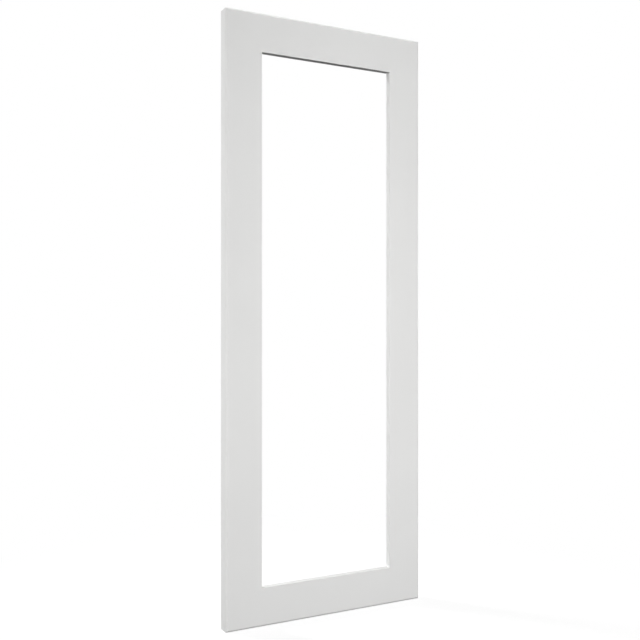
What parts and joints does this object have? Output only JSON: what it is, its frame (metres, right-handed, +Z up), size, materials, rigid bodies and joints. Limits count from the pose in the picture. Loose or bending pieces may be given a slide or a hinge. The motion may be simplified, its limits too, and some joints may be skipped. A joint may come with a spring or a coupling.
{
  "type": "kitchen cabinet door",
  "caption": "Tall narrow cabinet door: a flat white frame with bevelled outer edges round an open, square-cornered centre, rebated at the back for a pane and bored for concealed hinges.",
  "frame": {"origin": "under the middle of the lower edge, halfway through the thickness", "axes": "+X across the door to the right as seen from its front, +Z up its height, front faces -Y, hinge drilling opens to +Y"},
  "size_m": [0.297, 0.018, 0.797],
  "materials": {
    "lacquered_board": "satin white lacquer on fibreboard",
    "beech": "fluted, unfinished"
  },
  "bodies": {
    "root": {"stile_left": "lacquered_board", "stile_right": "lacquered_board", "rail_top": "lacquered_board", "rail_bottom": "lacquered_board", "dowel_bottom_left_1": "beech", "dowel_bottom_left_2": "beech", "dowel_bottom_right_1": "beech", "dowel_bottom_right_2": "beech", "dowel_top_left_1": "beech", "dowel_top_left_2": "beech", "dowel_top_right_1": "beech", "dowel_top_right_2": "beech"}
  },
  "joints": []
}
